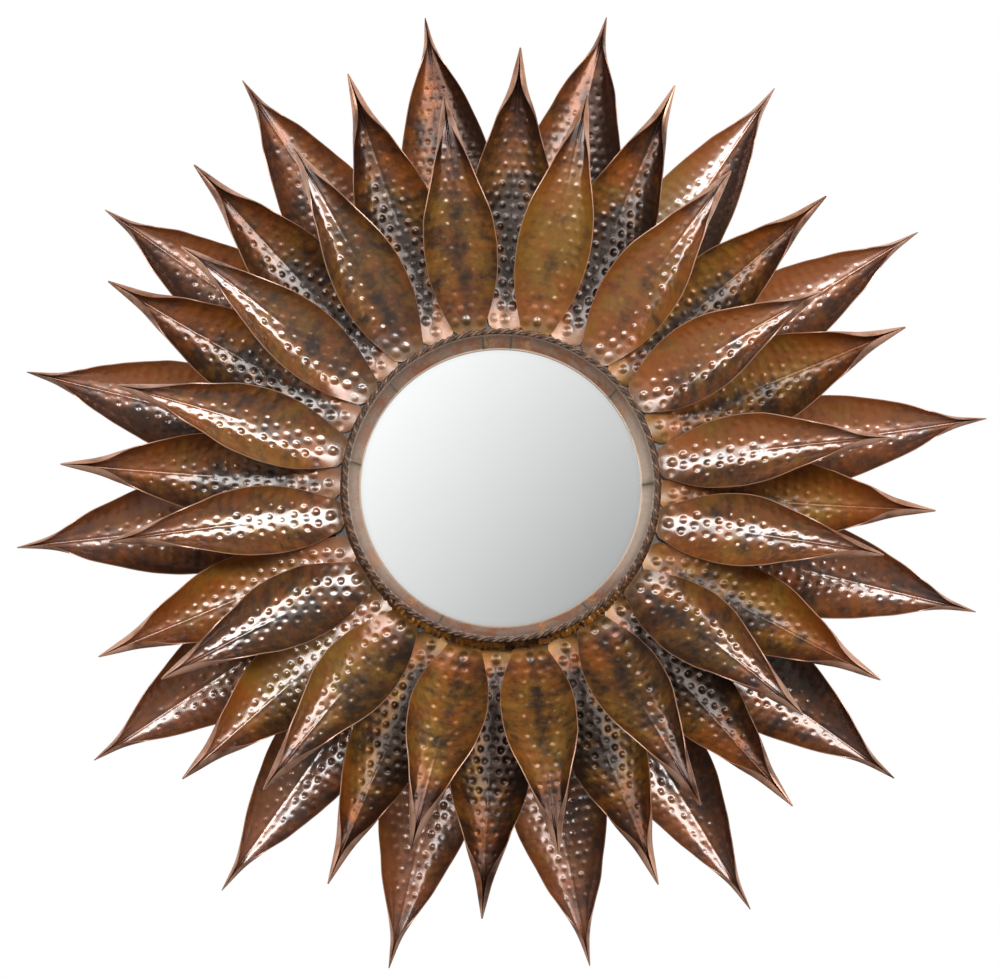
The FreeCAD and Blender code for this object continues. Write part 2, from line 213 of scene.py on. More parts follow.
def strip_faces(rows, columns, first=0, turned=False):
    """The quads of a grid of points kept row by row, starting at index first."""
    corner = first + np.arange(rows - 1)[:, None] * columns + np.arange(columns - 1)
    quads = np.stack([corner, corner + columns, corner + columns + 1, corner + 1], -1).reshape(-1, 4)
    return quads[:, ::-1] if turned else quads


def shell(name, points, quads, caps=(), sharp=50, marks=None):
    """A mesh object of points and quads, caps as loops of point numbers, and marks as a number a point."""
    mesh = bpy.data.meshes.new(name)
    mesh.vertices.add(len(points))
    mesh.vertices.foreach_set("co", np.asarray(points, np.float32).ravel())
    corners = np.concatenate([quads.ravel(), *caps]).astype(np.int32)
    sizes = np.concatenate([np.full(len(quads), 4), [len(c) for c in caps]]).astype(np.int32)
    mesh.loops.add(len(corners))
    mesh.loops.foreach_set("vertex_index", corners)
    mesh.polygons.add(len(sizes))
    mesh.polygons.foreach_set("loop_start", np.concatenate([[0], np.cumsum(sizes)[:-1]]).astype(np.int32))
    mesh.update(calc_edges=True)
    for mark, numbers in (marks or {}).items():
        layer = mesh.attributes.new(mark, "FLOAT", "POINT")
        layer.data.foreach_set("value", np.asarray(numbers, np.float32).ravel())
    mesh.shade_smooth()
    mesh.set_sharp_from_angle(angle=radians(sharp))
    piece = bpy.data.objects.new(name, mesh)
    bpy.context.scene.collection.objects.link(piece)
    return piece


def leaf_face(row, width, length, shares, across, domes, dice, back):
    """The points of one face of a leaf, in its own frame: x along, y across and z towards the viewer.

    At a share of the length the section is an arc about a centre over the keel, of half angle pi * fold
    share and of the radius that gives the half width. A place on it is a share of that half angle from the
    keel. The arc stands square to the keel, so it leans back by the keel's slope. The viewer's face is a
    sheet nearer the centre, and domes, hammer marks and the crease of the keel move it along the radius.
    Beside the keel the sheet is beaten flatter: level * reach^2 / (4 * radius) * (1 - (arc / reach)^2)^2.
    """
    stations = np.asarray(STATION_SHARES)
    heights = row["rise"] * np.asarray(row["height_shares"])
    ahead = np.append(np.arange(1, len(stations)), len(stations) - 1)
    behind = np.append(0, np.arange(len(stations) - 1))
    slopes = np.arctan2(heights[ahead] - heights[behind], length * (stations[ahead] - stations[behind]))
    place = shares[:, None]
    height = through(stations, heights, place)
    slope = through(stations, slopes, place)
    fold = pi * np.clip(through(stations, row["fold_shares"], place), 0.02, 0.965)
    half = np.maximum(width * through(stations, row["width_shares"], place), 0.0004)
    start = place * length
    half = half - np.clip(foot_tuck + foot_chamfer - start, 0, foot_chamfer)
    edge = edge_wave * uneven(start, 0 * start, dice, 0.09, 0.03)
    half = half + edge * ramp(0.04, 0.2, place) * ramp(1, 0.8, place)
    radius = half / np.sin(np.minimum(fold, pi / 2))
    arc = radius * fold * across
    domed = raised(start + 0 * arc, arc, domes)
    ripple = np.sin(2 * pi * start / dome_pitch + 2 * uneven(start, arc, dice, 0.09, 0.03))
    ripple = ripple_height * ripple * ramp(0.35, 0.6, np.abs(across)) * ramp(0.92, 0.7, np.abs(across))
    ripple = ripple * ramp(0.95, 0.7, place) * ramp(0.1, 0.2, place)
    dents = dent_depth * uneven(start, arc, dice, 0.07, 0.02)
    dents = dents * ramp(0.02, 0.12, place) * ramp(1.0, 0.75, place)
    crease = crease_depth * np.exp(-((arc / crease_half_width) ** 2)) * ramp(0.35, 0.6, place)
    beaten = np.minimum(0.42 * radius * fold, flat_reach)
    level = row["level"] * beaten**2 / (4 * radius) * np.clip(1 - (arc / beaten) ** 2, 0, 1) ** 2
    if back:
        reach = radius + 0 * arc - 0.8 * domed - dents - level
    else:
        reach = np.maximum(radius - SHEET, 0.4 * radius) + 0 * arc
        reach = reach - np.minimum(domed + dents + ripple + level - crease, 0.5 * reach)
    lean = radius - reach * np.cos(fold * across)
    return np.stack([
        start - lean * np.sin(slope),
        reach * np.sin(fold * across),
        row["lift"] + height + lean * np.cos(slope),
    ], -1)


def leaf(name, row, turns, patina, seed):
    """One leaf: the viewer's face, the coarser back, the two cut edges between them, the foot and the tip."""
    foot_turn, tip_turn, length_share, width_share, azimuth = turns
    foot_angle = radians(azimuth + foot_turn)
    tip_angle = radians(azimuth + tip_turn)
    foot_point = row["foot"] * np.array([cos(foot_angle), sin(foot_angle)])
    tip = row["foot"] + row["length"] * length_share
    run = tip * np.array([cos(tip_angle), sin(tip_angle)]) - foot_point
    length = float(np.hypot(*run))
    width = row["half_width"] * width_share
    shares = np.linspace(foot_tuck / length, 1, row["rows"])
    t = np.linspace(-1, 1, row["columns"])
    across = t * (0.72 + 0.28 * t * t)
    across[1] = -rim_share
    across[-2] = rim_share
    behind = np.linspace(-1, 1, row["back_columns"])
    fold = pi * through(STATION_SHARES, row["fold_shares"], shares)
    half = width * through(STATION_SHARES, row["width_shares"], shares)
    half_arc = half / np.sin(np.minimum(fold, pi / 2)) * fold
    domes = punched_domes(length, half_arc, shares, np.random.default_rng(seed))
    seen = leaf_face(row, width, length, shares, across, domes, np.random.default_rng(seed + 1), False)
    rear = leaf_face(row, width, length, shares, behind, domes, np.random.default_rng(seed + 1), True)
    local = np.concatenate([seen.reshape(-1, 3), rear.reshape(-1, 3)])
    ahead = run / length
    side = np.array([-ahead[1], ahead[0]])
    flat = foot_point + local[:, :1] * ahead + local[:, 1:2] * side
    points = np.stack([flat[:, 0], -local[:, 2], flat[:, 1] + DISH_AXIS.z], -1)
    rows, columns, coarse = row["rows"], row["columns"], row["back_columns"]
    first_rear = rows * columns
    quads = [strip_faces(rows, columns), strip_faces(rows, coarse, first_rear, turned=True)]
    step = np.arange(rows - 1)
    for column, rear_column, turned in ((0, 0, False), (columns - 1, coarse - 1, True)):
        near = step * columns + column
        far = first_rear + step * coarse + rear_column
        edge = np.stack([near, far, far + coarse, near + columns], -1)
        quads.append(edge[:, ::-1] if turned else edge)
    foot_cap = np.concatenate([np.arange(columns), first_rear + np.arange(coarse)[::-1]])
    tip_row = (rows - 1) * columns + np.arange(columns)
    tip_cap = np.concatenate([tip_row[::-1], first_rear + (rows - 1) * coarse + np.arange(coarse)])
    along = np.concatenate([np.repeat(shares, columns), np.repeat(shares, coarse)])
    sideways = np.concatenate([np.tile(across, rows), np.tile(behind, rows)])
    is_rear = np.concatenate([np.zeros(first_rear), np.ones(rows * coarse)])
    gold, rust, smoke, lean, lacquer = patina
    flank = np.clip(2.5 * sideways, -1, 1)
    # Painted shade: from near the foot to about half way the channel gets more smoke, by the row's share
    channel = ramp(0.08, 0.18, along) * ramp(0.62, 0.42, along)
    # Painted shade: more smoke inside the nearly shut tip of the viewer's face, most on the upright leaves
    tip_painted_shade = row["tip_painted_shade"] * abs(sin(foot_angle)) ** 3 * ramp(0.62, 0.84, along) * (1 - is_rear)
    worn = np.maximum(ramp(0.55, 0.75, along), 0.7 * channel)
    cut_edge = ramp(rim_share + 0.001, 1, np.abs(sideways)) * (1 - is_rear)
    marks = {
        "along": along,
        "sideways": sideways,
        "rear": is_rear,
        "rim": np.clip(cut_edge + 0.6 * (along <= shares[0]), 0, 1),
        "gold": gold + 0 * along,
        "rust": rust - lean * flank,
        "smoke": smoke * (1 + row["channel_painted_shade"] * channel) + lean * flank + tip_painted_shade,
        "lacquer": lacquer * (1 - 0.7 * is_rear) * (1 - (1 - lacquer) * worn),
        "seed": np.full(along.size, seed % 97),
    }
    piece = shell(name, points, np.concatenate(quads), [foot_cap, tip_cap], 50, marks)
    piece.data.materials.append(row["material"])
    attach(piece, "root")
    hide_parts(row["name"] + name[-3:])
    return piece


def linear(red, green, blue):
    """A colour as a screen shows it, 0 to 255, as the linear colour that a shader socket takes."""
    parts = np.array([red, green, blue]) / 255
    return (*np.where(parts > 0.04045, ((parts + 0.055) / 1.055) ** 2.4, parts / 12.92), 1)


def put(tree, kind, inputs=None, **settings):
    """A new node with its settings. An input is a plain value, or the output socket of another node."""
    node = tree.nodes.new(kind)
    for setting, value in settings.items():
        setattr(node, setting, value)
    for socket, value in (inputs or {}).items():
        if isinstance(value, bpy.types.NodeSocket):
            tree.links.new(value, node.inputs[socket])
        else:
            node.inputs[socket].default_value = value
    return node


def maths(tree, operation, first, second=0.0, clamp=False):
    """The output of a Math node."""
    return put(tree, "ShaderNodeMath", {0: first, 1: second}, operation=operation, use_clamp=clamp).outputs[0]


def times(tree, first, second):
    """The output of first * second."""
    return maths(tree, "MULTIPLY", first, second)


def scaled(tree, value, gain, base):
    """The output of value * gain + base, where the base may be another node's output."""
    return maths(tree, "ADD", times(tree, value, gain), base)


def fade_between(tree, value, low, high):
    """The output of a Map Range node that goes smoothly from 0 at low to 1 at high."""
    inputs = {"Value": value, "From Min": low, "From Max": high}
    return put(tree, "ShaderNodeMapRange", inputs, interpolation_type="SMOOTHSTEP").outputs[0]


def between(tree, value, low, full_low, full_high, high):
    """The output that is 1 from full_low to full_high and goes smoothly to 0 at low and at high."""
    rising = fade_between(tree, value, low, full_low)
    return times(tree, rising, fade_between(tree, value, high, full_high))


def place_of(tree, **moved):
    """The object's own coordinates, moved or stretched by a Mapping node where that is asked for."""
    place = put(tree, "ShaderNodeTexCoord").outputs["Object"]
    if moved:
        place = put(tree, "ShaderNodeMapping", {"Vector": place, **moved}).outputs[0]
    return place


def noise(tree, place, scale, detail=3.0, rough=0.55):
    """The 0 to 1 output of a Noise Texture."""
    inputs = {"Vector": place, "Scale": scale, "Detail": detail, "Roughness": rough}
    return put(tree, "ShaderNodeTexNoise", inputs).outputs[0]


def blended(tree, share, first, second, way="MIX"):
    """The colour output of a Mix node."""
    node = put(tree, "ShaderNodeMix", data_type="RGBA", blend_type=way)
    for socket, value in zip((node.inputs[0], node.inputs[6], node.inputs[7]), (share, first, second)):
        if isinstance(value, bpy.types.NodeSocket):
            tree.links.new(value, socket)
        else:
            socket.default_value = value
    return node.outputs[2]


def speckled(tree, speck, dark, light):
    """The colour output that goes from a dark to a light colour, given as on a screen, with the speck."""
    return blended(tree, speck, linear(*dark), linear(*light))


def attribute(tree, name):
    """The number that the mesh carries under this name."""
    return put(tree, "ShaderNodeAttribute", attribute_name=name).outputs["Fac"]


def new_surface(name):
    """A new material, its node tree and its shader."""
    material = bpy.data.materials.new(name)
    material.use_nodes = True
    return material, material.node_tree, material.node_tree.nodes["Principled BSDF"]


def roughen(tree, surface, grain, gain, base, height, strength, distance):
    """Roughness of grain * gain + base, and a bump by a height of this strength and distance."""
    tree.links.new(scaled(tree, grain, gain, base), surface.inputs["Roughness"])
    bump = put(tree, "ShaderNodeBump", {"Height": height, "Strength": strength, "Distance": distance})
    tree.links.new(bump.outputs[0], surface.inputs["Normal"])


def new_group(name, inputs, outputs):
    """An empty node group with float inputs of the given standing values, and the outputs named."""
    group = bpy.data.node_groups.new(name, "ShaderNodeTree")
    for socket, value in inputs.items():
        item = group.interface.new_socket(name=socket, in_out="INPUT", socket_type="NodeSocketFloat")
        item.default_value = value
    for socket, kind in outputs.items():
        group.interface.new_socket(name=socket, in_out="OUTPUT", socket_type=kind)
    return group, group.nodes.new("NodeGroupInput").outputs, group.nodes.new("NodeGroupOutput").inputs


# The torch's colours: brown ground with rust, gold and smoke clouds, finer flecks, and a fine grain
torch, torch_in, torch_out = new_group(
    "torch_colours",
    {"Gold": 0.5, "Rust": 0.5, "Smoke": 0.3},
    {"Color": "NodeSocketColor", "Roughness": "NodeSocketFloat", "Height": "NodeSocketFloat"},
)
torch_place = place_of(torch)
cloud = noise(torch, torch_place, 26.0, 4.0, 0.62)
second_cloud = noise(torch, place_of(torch, Location=(3, 1, 7)), 34.0, 4.0, 0.62)
third_cloud = noise(torch, place_of(torch, Location=(9, 5, 2)), 42.0, 5.0, 0.66)
fleck = noise(torch, torch_place, 170.0, 3.0, 0.6)
grain = noise(torch, torch_place, 900.0, 2.0, 0.5)
rust_mask = fade_between(torch, scaled(torch, torch_in["Rust"], 0.34, cloud), 0.46, 0.90)
gold_mask = fade_between(torch, scaled(torch, torch_in["Gold"], 0.36, second_cloud), 0.48, 0.92)
smoke_mask = fade_between(torch, scaled(torch, torch_in["Smoke"], 0.40, third_cloud), 0.50, 0.96)
ground = speckled(torch, fleck, (104, 55, 27), (132, 76, 38))
ground = blended(torch, rust_mask, ground, speckled(torch, fleck, (146, 74, 18), (178, 102, 34)))
ground = blended(torch, gold_mask, ground, speckled(torch, fleck, (132, 92, 26), (170, 124, 48)))
ground = blended(torch, smoke_mask, ground, speckled(torch, fleck, (42, 29, 21), (74, 53, 39)))
torch.links.new(ground, torch_out["Color"])
torch.links.new(scaled(torch, fleck, 0.16, times(torch, cloud, 0.30)), torch_out["Roughness"])
torch.links.new(scaled(torch, fleck, 0.7, times(torch, grain, 0.3)), torch_out["Height"])


def copper_material(name, bare, rim, back, gold, index):
    """Lacquered copper: the torch's colours, a bare or golden foot, bright cut edges and a stained pink back.

    Smoke, which also carries the painted shade of the channels and tips, makes it darker, more like metal
    and a little smoother, and the lacquer is thinner on the flanks.
    The row's gold is added to each leaf's own, and index is the copper's index of refraction.
    """
    material, tree, surface = new_surface(name)
    along = attribute(tree, "along")
    sideways = maths(tree, "ABSOLUTE", attribute(tree, "sideways"))
    smoke = attribute(tree, "smoke")
    belly = between(tree, along, 0.05, 0.3, 0.5, 0.8)
    burnt = fade_between(tree, along, 0.55, 0.98)
    ribbed = put(tree, "ShaderNodeCombineXYZ", {
        0: times(tree, along, 26.0),
        1: times(tree, sideways, 1.6),
        2: attribute(tree, "seed"),
    }).outputs[0]
    ribs = maths(tree, "SUBTRACT", noise(tree, ribbed, 1.0, 4.0, 0.65), 0.5)
    midrib = fade_between(tree, sideways, 0.3, 0.04)
    midrib = times(tree, midrib, fade_between(tree, along, 0.75, 0.45))
    smoke_in = scaled(tree, sideways, 0.3, smoke)
    smoke_in = scaled(tree, midrib, 0.45, smoke_in)
    smoke_in = scaled(tree, ribs, 1.4, smoke_in)
    patina = put(tree, "ShaderNodeGroup", node_tree=torch)
    tree.links.new(scaled(tree, attribute(tree, "gold"), belly, gold), patina.inputs["Gold"])
    tree.links.new(scaled(tree, burnt, 0.3, attribute(tree, "rust")), patina.inputs["Rust"])
    tree.links.new(smoke_in, patina.inputs["Smoke"])
    colour = blended(tree, times(tree, burnt, 0.4), patina.outputs["Color"], linear(104, 54, 38))
    foot = fade_between(tree, along, 0.11, 0.02)
    golden = fade_between(tree, attribute(tree, "gold"), 0.54, 0.62)
    foot_colour = blended(tree, golden, bare, linear(134, 98, 38))
    colour = blended(tree, times(tree, foot, 0.6), colour, foot_colour)
    stains = fade_between(tree, noise(tree, place_of(tree), 22.0, 5.0, 0.6), 0.72, 0.38)
    worn_back = times(tree, stains, 0.92)
    colour = blended(tree, times(tree, attribute(tree, "rear"), worn_back), colour, back)
    colour = blended(tree, attribute(tree, "rim"), colour, rim)
    tree.links.new(colour, surface.inputs["Base Color"])
    metal = maths(tree, "ADD", times(tree, smoke, 0.36), 0.28, clamp=True)
    bright_foot = times(tree, times(tree, foot, golden), 0.3)
    tree.links.new(maths(tree, "ADD", metal, bright_foot, clamp=True), surface.inputs["Metallic"])
    surface.inputs["IOR"].default_value = index
    sooty = maths(tree, "MULTIPLY", smoke, 0.07, clamp=True)
    dull = maths(tree, "ADD", patina.outputs["Roughness"], 0.17)
    roughen(tree, surface, sooty, -1.0, dull, patina.outputs["Height"], 0.35, 0.0004)
    thin = times(tree, fade_between(tree, sideways, 0.25, 0.75), 0.6)
    coat = times(tree, maths(tree, "SUBTRACT", 1.0, thin), attribute(tree, "lacquer"))
    tree.links.new(coat, surface.inputs["Coat Weight"])
    surface.inputs["Coat IOR"].default_value = 2.1
    surface.inputs["Coat Roughness"].default_value = 0.19
    return material


def leaf_row(row, leaves, patinas, seed):
    """A row of leaves, clockwise from its first azimuth."""
    pitch = 360 / len(leaves)
    for number, (turns, patina) in enumerate(zip(leaves, patinas)):
        azimuth = row["azimuth"] - pitch * number
        name = f"hammered_{row['name']}_{number + 1:02d}"
        leaf(name, row, (*turns, azimuth), patina, seed + 10 * number)


front_copper = copper_material(
    "front_leaf_copper_look", linear(132, 102, 68), linear(206, 156, 128), linear(226, 176, 148), 0.0, 1.55)
leaf_row(
    dict(
        name="front_leaf", slot="front_leaf_copper", material=front_copper, foot=front_foot, lift=front_lift,
        length=front_length, rise=front_rise, half_width=front_half_width, azimuth=front_azimuth,
        height_shares=front_height_shares, width_shares=front_width_shares, fold_shares=front_fold_shares,
        channel_painted_shade=0.0, tip_painted_shade=1.0, level=0.8, rows=190, columns=60, back_columns=22,
    ),
    front_leaves, front_patina_shares, 1000)


# Middle leaves
# Sixteen longer leaves behind the gaps of the front row, of the same sheet and punching. They stand in the
# front row's shade, and are smokier, with painted shade darkening their channels, and a brassy band half way.
middle_length = 0.2853
middle_lift = 0.0453
middle_rise = 0.059
middle_half_width = 0.0425
middle_azimuth = 89
middle_height_shares = [
    0, 0.002, 0.013, 0.042, 0.087, 0.157, 0.240, 0.330, 0.425, 0.534, 0.655, 0.765, 0.877, 0.938, 1.0,
]
middle_width_shares = [
    0.37, 0.44, 0.54, 0.70, 0.85, 0.97, 1.0, 0.955, 0.83, 0.645, 0.46, 0.27, 0.145, 0.082, 0.02,
]
middle_fold_shares = [
    0.06, 0.07, 0.08, 0.11, 0.15, 0.20, 0.24, 0.29, 0.35, 0.43, 0.58, 0.80, 0.94, 0.95, 0.96,
]
middle_leaves = [
    (-0.5, -1.5, 1.02, 1), (0.5, 0, 1.01, 0.98), (0.5, -2.5, 1, 0.95), (0.5, -0.5, 0.99, 1.08),
    (-0.5, -3, 0.99, 1), (-0.5, -4.5, 0.96, 0.97), (0.5, -2.5, 0.99, 0.93), (0.5, -0.5, 0.98, 0.96),
    (-0.5, -1.5, 1, 0.98), (-0.5, 0.5, 1, 0.92), (-0.5, -0.5, 0.99, 1.03), (0.5, 2.5, 1, 0.96),
    (-1, -1, 1.01, 1), (-1.5, -3.5, 1.02, 1), (0, 0, 1.03, 1), (1, -1, 1.02, 0.98),
]
# The smoke is torch smoke, and where it is heavier on the bottom leaves it is also painted shade
middle_patina_shares = [
    (0.5, 0.4, 0.38, -0.1, 0.4), (0.5, 0.6, 0.45, -0.35, 0.4), (0.8, 0.7, 0.3, -0.3, 0.35),
    (0.7, 0.8, 0.15, -0.35, 0.4), (0.6, 0.9, 0.1, -0.25, 0.3), (0.7, 0.7, 0.2, -0.3, 0.3),
    (0.6, 0.6, 0.38, 0.3, 0.25), (0.8, 0.9, 0.35, -0.1, 0.15), (0.7, 0.9, 0.5, 0.25, 0.15),
    (0.7, 0.8, 0.4, 0.35, 0.15), (0.9, 1, 0, 0.6, 0.9), (0.5, 0.9, 0, 0.2, 0.8),
    (0.4, 0.5, 0.25, 0.25, 0.7), (0.5, 0.6, 0.3, 0.3, 0.7), (0.5, 0.5, 0.38, 0.1, 0.5),
    (0.5, 0.7, 0.4, 0.2, 0.4),
]
middle_copper = copper_material(
    "middle_leaf_copper_look", linear(176, 130, 96), linear(200, 150, 122), linear(224, 172, 144), 0.0, 1.5)
leaf_row(
    dict(
        name="middle_leaf", slot="middle_leaf_copper", material=middle_copper, foot=front_foot,
        lift=middle_lift, length=middle_length, rise=middle_rise, half_width=middle_half_width,
        azimuth=middle_azimuth, height_shares=middle_height_shares, width_shares=middle_width_shares,
        fold_shares=middle_fold_shares, channel_painted_shade=1.2, tip_painted_shade=0.6, level=0.0, rows=220, columns=60,
        back_columns=22,
    ),
    middle_leaves, middle_patina_shares, 3000)


# Outer leaves
# Sixteen long flat leaves behind the gaps of both rows, brazed to their own disc further back. They are the
# widest and lie almost in the wall's plane, so that they catch the lamps in broad flashes.
outer_foot = 0.1475
outer_lift = 0.0303
outer_length = 0.3611
outer_rise = 0.007
outer_half_width = 0.0497
outer_azimuth = 78
outer_height_shares = [
    0, 0.01, 0.03, 0.07, 0.13, 0.21, 0.30, 0.40, 0.51, 0.62, 0.74, 0.83, 0.91, 0.955, 1.0,
]
outer_width_shares = [
    0.33, 0.42, 0.54, 0.68, 0.83, 0.95, 1.0, 0.97, 0.875, 0.70, 0.505, 0.28, 0.110, 0.058, 0.01,
]
outer_fold_shares = [
    0.05, 0.06, 0.08, 0.11, 0.15, 0.19, 0.23, 0.27, 0.30, 0.34, 0.41, 0.54, 0.87, 0.93, 0.96,
]
outer_leaves = [
    (0, -0.5, 1.02, 1.05), (0.5, 0.5, 1.02, 0.93), (-1, -1, 1.02, 0.92), (-1.5, -2, 1.01, 0.96),
    (-3.5, -2.5, 1, 1.03), (-3, -2, 0.99, 1.05), (-3.5, -2.5, 0.99, 0.96), (-2, 0, 0.98, 1.02),
    (-0.5, -1, 1, 1), (0.5, 0, 0.99, 0.96), (0.5, 1, 0.99, 1.04), (-3, -3.5, 0.99, 1.04),
    (-2.5, -2, 1, 1), (-2, -1, 1, 1), (-3.5, -1, 1.01, 0.98), (1, -1.5, 1, 1),
]
outer_patina_shares = [
    (0.2, 0.8, 0.7, -0.5, 0.35), (1, 1.8, 0, -1, 1), (0.2, 1.2, 0.1, -0.6, 1), (0.2, 1.1, 0.2, -0.3, 1),
    (0.2, 0.9, 0.3, 0, 1), (0.2, 0.7, 0.6, 0.2, 0.8), (0.3, 0.7, 0.4, 0.25, 0.8), (0.3, 0.6, 0.25, 0.25, 0.7),
    (0.3, 0.7, 0.1, 0.25, 0.7), (0.5, 0.5, 0.2, 0.2, 1), (0.5, 0.6, 0.1, 0.1, 1), (0.4, 0.5, 0.2, 0.2, 1),
    (0.3, 0.6, 0.3, 0.5, 1), (0.2, 0.6, 0.4, 0.4, 0.8), (0.3, 0.6, 0.35, 0.15, 0.5),
    (0.3, 0.8, 0.8, -0.5, 0.1),
]
outer_copper = copper_material(
    "outer_leaf_copper_look", linear(176, 126, 94), linear(200, 150, 122), linear(222, 170, 142), -0.1, 1.75)
leaf_row(
    dict(
        name="outer_leaf", slot="outer_leaf_copper", material=outer_copper, foot=outer_foot, lift=outer_lift,
        length=outer_length, rise=outer_rise, half_width=outer_half_width, azimuth=outer_azimuth,
        height_shares=outer_height_shares, width_shares=outer_width_shares, fold_shares=outer_fold_shares,
        channel_painted_shade=0.3, tip_painted_shade=0.2, level=0.5, rows=250, columns=60, back_columns=22,
    ),
    outer_leaves, outer_patina_shares, 5000)


# Bezel
# A cone of copper strip leans in over the edge of the glass. It is eight lengths, lapped and soldered, and
# its edge on the glass is turned to a small bead. The plain hoop behind it is the model's own.
bezel_low = (0.1455, 0.0523)
bezel_high = (0.1587, 0.0692)
bezel_wall = 0.0013
bezel_bead = 0.0010
bezel_lap = 0.00045
bezel_solder_height = 0.0006
bezel_sway_height = 0.00035
bezel_sag = 0.0005
bezel_metres_per_degree = 0.0026
# The laps, and the drops of solder beside them, in degrees round the ring
bezel_seams = [1, 40, 86, 97, 137, 171, 246, 305]
bezel_drops = [32, 80, 95, 211, 232, 286, 309]


def turned_surface(name, radii, heights, sharp=50, marks=None):
    """A closed skin turned about the dish's axis: at each angle the profile's radius and height.

    The arrays have a row an angle and a column a place on the profile, which runs round a closed loop.
    """
    angles = np.linspace(0, 2 * pi, len(radii), endpoint=False)[:, None]
    points = np.stack([radii * np.cos(angles), -heights, radii * np.sin(angles) + DISH_AXIS.z], -1)
    rows, columns = radii.shape
    here = np.arange(rows)[:, None]
    after = (here + 1) % rows
    column = np.arange(columns)
    beside = (column + 1) % columns
    quads = np.stack([
        here * columns + column, after * columns + column, after * columns + beside, here * columns + beside,
    ], -1).reshape(-1, 4)
    return shell(name, points.reshape(-1, 3), quads, (), sharp, marks)


def degrees_off(angles, places):
    """How many degrees each angle of a column lies from the nearest of the places round the circle."""
    return np.min(np.abs((angles - places + 180) % 360 - 180), axis=1)[:, None]


bezel_angles = np.linspace(0, 360, 1440, endpoint=False)[:, None]
bezel_nearest = degrees_off(bezel_angles, bezel_seams)
bezel_which = np.searchsorted(bezel_seams, bezel_angles[:, 0])[:, None] % len(bezel_seams)
bezel_step = bezel_lap * (bezel_which % 2) * ramp(0, 0.25, bezel_nearest)
bezel_solder = bezel_solder_height * np.exp(-((bezel_nearest / 0.55) ** 2))
# Painted highlight: the right side is palest, at 4 degrees below level, and the left side about half as much
bezel_painted_highlight = ramp(0.7, 0.97, np.cos(np.radians(bezel_angles + 4)))
bezel_painted_highlight = bezel_painted_highlight + 0.45 * ramp(0.7, 0.97, np.cos(np.radians(bezel_angles - 190)))
bezel_dice = np.random.default_rng(41)
bezel_sway = uneven(bezel_angles * bezel_metres_per_degree, 0 * bezel_angles, bezel_dice, 0.11, 0.02)
cone_run = np.subtract(bezel_high, bezel_low)
cone_normal = np.array([-cone_run[1], cone_run[0]]) / np.hypot(*cone_run)
along_cone = np.linspace(0.1, 1, 8)
sag = bezel_sag * np.sin(pi * along_cone)
front_radii = bezel_low[0] + cone_run[0] * along_cone - cone_normal[0] * sag
front_heights = bezel_low[1] + cone_run[1] * along_cone - cone_normal[1] * sag
bead_turn = np.linspace(-0.2, 2.6, 5)
bead_radii = bezel_low[0] + bezel_bead * (0.3 - np.sin(bead_turn))
bead_heights = bezel_low[1] + bezel_bead * (0.9 - np.cos(bead_turn))
rear_radii = front_radii[::-1] - cone_normal[0] * bezel_wall
rear_heights = front_heights[::-1] - cone_normal[1] * bezel_wall
cone_radii = np.concatenate([front_radii, rear_radii, bead_radii[::-1]])
cone_heights = np.concatenate([front_heights, rear_heights, bead_heights[::-1]])
on_front = np.concatenate([np.ones(8), np.zeros(13)])
bezel_move = (bezel_step + bezel_solder + bezel_sway_height * bezel_sway) * on_front
bezel_radii = cone_radii + cone_normal[0] * bezel_move
bezel_heights = cone_heights + cone_normal[1] * bezel_move
bezel_marks = {
    "rim": np.concatenate([np.zeros(7), [0.5], np.zeros(8), np.full(5, 0.7)]),
    # darker up the cone towards the wire
    "darker_toward_wire": np.concatenate([ramp(0.35, 1, along_cone), np.zeros(13)]),
    "pale": bezel_painted_highlight,
    "seam": np.exp(-((bezel_nearest / 0.3) ** 2)),
    "smoke": np.exp(-((bezel_nearest / 1.8) ** 2)),
    "drop": np.exp(-((degrees_off(bezel_angles, bezel_drops) / 1.9) ** 2)),
}
bezel_marks = {mark: numbers + 0 * bezel_radii for mark, numbers in bezel_marks.items()}
bezel = turned_surface("lapped_bezel_cone", bezel_radii, bezel_heights, 40, bezel_marks)
bezel_copper, bezel_tree, bezel_surface = new_surface("bezel_copper_look")
bezel_place = place_of(bezel_tree)
bezel_cloud = noise(bezel_tree, bezel_place, 55.0, 5.0, 0.65)
bezel_speck = noise(bezel_tree, bezel_place, 260.0, 4.0, 0.65)
bezel_spots = fade_between(bezel_tree, bezel_speck, 0.42, 0.6)
bezel_drop = times(bezel_tree, attribute(bezel_tree, "drop"), bezel_spots)
# Of each layer: how much it covers, and its colours in a dark and in a light speck
bezel_layers = [
    (fade_between(bezel_tree, bezel_cloud, 0.45, 0.60), (128, 80, 56), (176, 118, 88)),
    # painted highlight, palest on the right side
    (times(bezel_tree, attribute(bezel_tree, "pale"), 0.75), (196, 174, 156), (240, 222, 204)),
    (bezel_drop, (212, 146, 84), (212, 146, 84)),
    (times(bezel_tree, attribute(bezel_tree, "smoke"), 0.8), (70, 66, 52), (176, 160, 132)),
    (times(bezel_tree, attribute(bezel_tree, "seam"), 0.8), (58, 46, 38), (58, 46, 38)),
    # darker towards the wire end of the cone
    (times(bezel_tree, attribute(bezel_tree, "darker_toward_wire"), 0.6), (84, 62, 50), (132, 102, 84)),
    (attribute(bezel_tree, "rim"), (232, 214, 196), (232, 214, 196)),
]
bezel_colour = speckled(bezel_tree, bezel_speck, (124, 98, 84), (182, 152, 132))
for bezel_cover, bezel_dark, bezel_light in bezel_layers:
    bezel_layer = speckled(bezel_tree, bezel_speck, bezel_dark, bezel_light)
    bezel_colour = blended(bezel_tree, bezel_cover, bezel_colour, bezel_layer)
